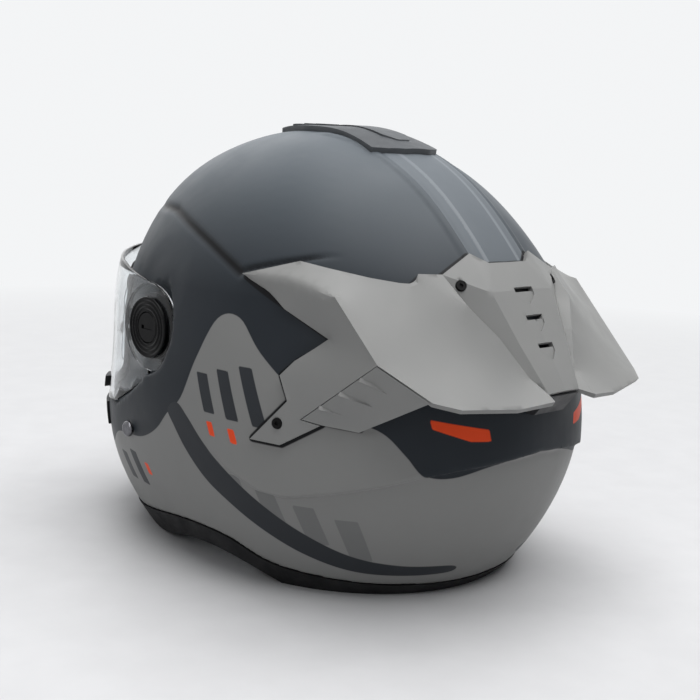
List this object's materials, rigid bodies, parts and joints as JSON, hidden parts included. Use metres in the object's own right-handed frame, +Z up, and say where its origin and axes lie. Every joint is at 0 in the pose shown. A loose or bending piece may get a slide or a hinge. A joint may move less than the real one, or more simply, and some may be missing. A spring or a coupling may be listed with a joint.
{
  "type": "full-face helmet",
  "caption": "Full-face road helmet with a flip-up clear visor, crown and chin vents, removable padding, quick-release chin strap and a moulded rear spoiler.",
  "frame": {"origin": "on the surface it stands on, under the middle of its box", "axes": "+Z up, -Y towards the front (the way the wearer looks), +X towards the wearer's left"},
  "size_m": [0.255, 0.3688, 0.2686],
  "materials": {
    "shell_paint": "matte paint over moulded composite, grey fields",
    "spoiler_paint": "matte light-grey paint over moulded plastic",
    "black_trim": "fine-grained matte black moulding",
    "gloss_black": "glossy black moulding",
    "edge_rubber": "matte black rubber",
    "clear_visor": "clear hard-coated shield",
    "foam": "expanded foam, dark",
    "comfort_fabric": "brushed knit over foam",
    "webbing": "woven strap",
    "steel": "plain steel",
    "chrome": "polished"
  },
  "bodies": {
    "root": {"outer_shell": "shell_paint", "impact_liner": "foam", "chin_liner": "foam", "crown_liner": "comfort_fabric", "neck_roll": "comfort_fabric", "chin_curtain": "comfort_fabric", "breath_guard": "edge_rubber", "base_trim": "edge_rubber", "eye_gasket": "edge_rubber", "chin_sill": "black_trim", "chin_vent_cover": "black_trim", "top_vent_housing": "black_trim", "spoiler": "spoiler_paint", "spoiler_bracket": "black_trim", "strap_left": "webbing", "strap_right": "webbing", "buckle_body": "steel", "buckle_pin": "steel", "buckle_tongue": "black_trim", "spoiler_lug_screws": "gloss_black", "spoiler_top_screws": "gloss_black", "strap_rivets": "chrome", "cheek_core_left": "foam", "cheek_pad_left": "comfort_fabric", "visor_pivot_base_left": "black_trim", "visor_pivot_cap_left": "gloss_black", "exhaust_cover_left": "spoiler_paint", "cheek_core_right": "foam", "cheek_pad_right": "comfort_fabric", "visor_pivot_base_right": "black_trim", "visor_pivot_cap_right": "gloss_black", "exhaust_cover_right": "spoiler_paint"},
    "visor": {"visor": "clear_visor", "visor_tab": "black_trim", "anti_fog_lens": "clear_visor", "lens_pins": "black_trim", "visor_pivot_ring_left": "gloss_black", "visor_pivot_ring_right": "gloss_black"},
    "top_vent_slider": {"top_vent_slider": "black_trim"},
    "chin_vent_shutter": {"chin_vent_shutter": "gloss_black"},
    "buckle_lever": {"buckle_lever": "black_trim"}
  },
  "joints": [
    {"name": "visor_hinge", "type": "hinge", "parent": "root", "child": "visor", "pos_m": [0, -0.04914, 0.14098], "axis": [-1, 0, 0], "range_deg": [0, 48]},
    {"name": "top_vent_track", "type": "hinge", "parent": "root", "child": "top_vent_slider", "pos_m": [0, 0.00235, 0.1481], "axis": [1, 0, 0], "range_deg": [0, 3.88]},
    {"name": "chin_vent_slide", "type": "slide", "parent": "root", "child": "chin_vent_shutter", "axis": [0, -0.1908, 0.9816], "range_m": [0, 0.005]},
    {"name": "buckle_lever_hinge", "type": "hinge", "parent": "root", "child": "buckle_lever", "pos_m": [0.0225, -0.06661, 0.0071], "axis": [0, 1, 0], "range_deg": [0, 50], "stiffness_Nm_per_rad": 0.05, "springref_deg": -11.46}
  ]
}
